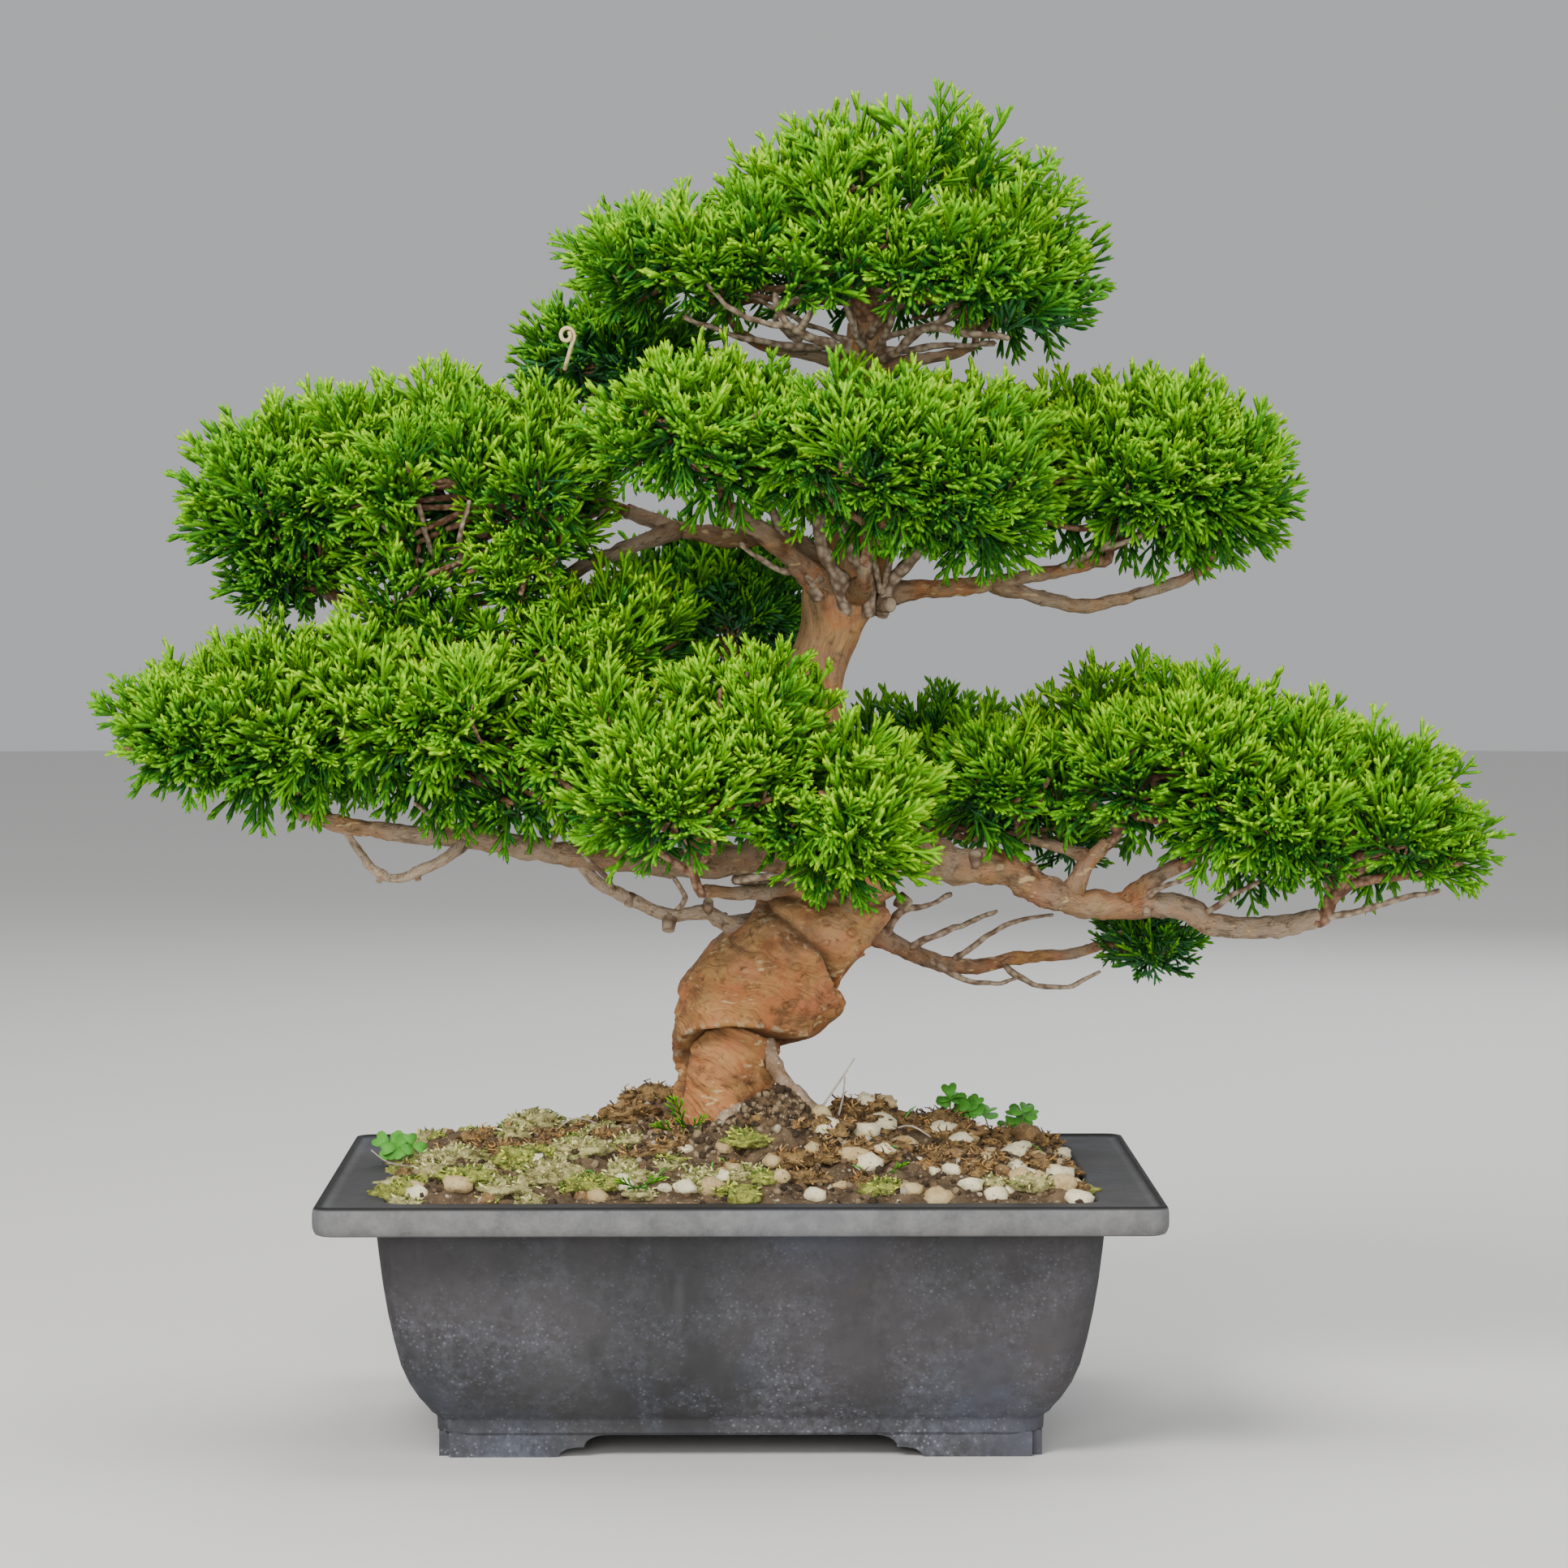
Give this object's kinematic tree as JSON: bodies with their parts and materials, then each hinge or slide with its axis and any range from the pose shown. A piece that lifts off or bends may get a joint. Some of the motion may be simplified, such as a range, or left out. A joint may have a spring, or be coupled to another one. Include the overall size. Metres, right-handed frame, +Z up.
{
  "type": "bonsai chinese juniper",
  "caption": "Bonsai Chinese juniper with a twisted leaning trunk, tiered boughs and clipped pads of scale-leaf foliage, in a shallow rectangular pot with a flared rim and bracket feet.",
  "frame": {"origin": "middle of the whole plant's box at the level of the pot's feet, on the surface it stands on; the pot's own middle is 21 mm to the left of it and 8 mm to the front", "axes": "+X to the viewer's right along the pot's long side, +Y away from the front, +Z up"},
  "size_m": [0.5141, 0.2746, 0.4918],
  "materials": {
    "pot": "matte dark grey, faintly mottled",
    "soil": "damp gritty soil with moss and pebbles",
    "bark": "smooth red-brown bark, flaking on the boughs",
    "foliage": "fresh green scale leaves"
  },
  "bodies": {
    "root": {"bough_back_left_low": "bark", "bough_back_left_upper": "bark", "bough_back_middle": "bark", "bough_back_right_low": "bark", "bough_back_right_upper": "bark", "bough_front_left": "bark", "bough_front_low": "bark", "bough_front_low_right": "bark", "bough_front_middle": "bark", "bough_left_low": "bark", "bough_left_low_inner": "bark", "bough_left_low_loop": "bark", "bough_left_low_middle": "bark", "bough_left_low_spur": "bark", "bough_left_middle": "bark", "bough_left_middle_outer": "bark", "bough_right_low": "bark", "bough_right_low_fork": "bark", "bough_right_low_inner": "bark", "bough_right_low_middle": "bark", "bough_right_middle": "bark", "bough_right_middle_lower": "bark", "bough_top_left": "bark", "bough_top_right": "bark", "foliage_back_left_low": "foliage", "foliage_back_left_upper": "foliage", "foliage_back_middle": "foliage", "foliage_back_right_low": "foliage", "foliage_back_right_upper": "foliage", "foliage_front_left": "foliage", "foliage_front_low": "foliage", "foliage_front_low_right": "foliage", "foliage_front_middle": "foliage", "foliage_left_low": "foliage", "foliage_left_low_inner": "foliage", "foliage_left_low_tip": "foliage", "foliage_left_middle": "foliage", "foliage_left_middle_outer": "foliage", "foliage_right_low": "foliage", "foliage_right_low_inner": "foliage", "foliage_right_low_outer": "foliage", "foliage_right_low_tip": "foliage", "foliage_right_middle": "foliage", "foliage_right_middle_outer": "foliage", "foliage_top": "foliage", "foliage_top_left": "foliage", "foliage_top_right": "foliage", "pot": "pot", "soil": "soil", "trunk": "bark"}
  },
  "joints": []
}
